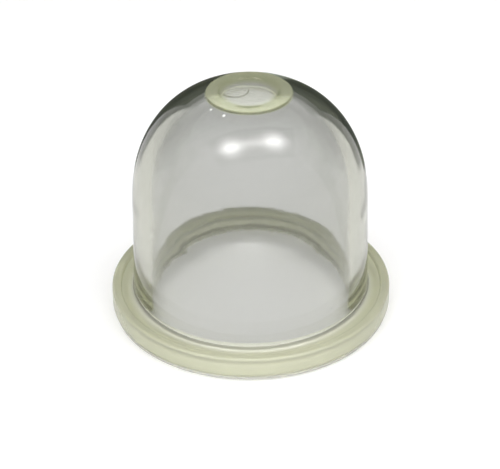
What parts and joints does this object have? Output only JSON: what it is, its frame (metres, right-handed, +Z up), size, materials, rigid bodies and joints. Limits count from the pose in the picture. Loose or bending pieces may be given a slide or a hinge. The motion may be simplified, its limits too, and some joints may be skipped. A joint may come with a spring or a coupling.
{
  "type": "primer bulb",
  "caption": "Clear flexible domed primer bulb with a round clamping flange, a raised rim and a shallow dished pad on its crown.",
  "frame": {"origin": "centre of the plane that the foot ring under the flange stands on", "axes": "+Z up along the dome's axis, from the open mouth to the crown"},
  "size_m": [0.0222, 0.0222, 0.0189],
  "materials": {
    "clear_plastic": "clear soft plastic with a pale yellow-green tint, glossy on the dome, satin on the flange"
  },
  "bodies": {
    "root": {"bulb": "clear_plastic"}
  },
  "joints": []
}
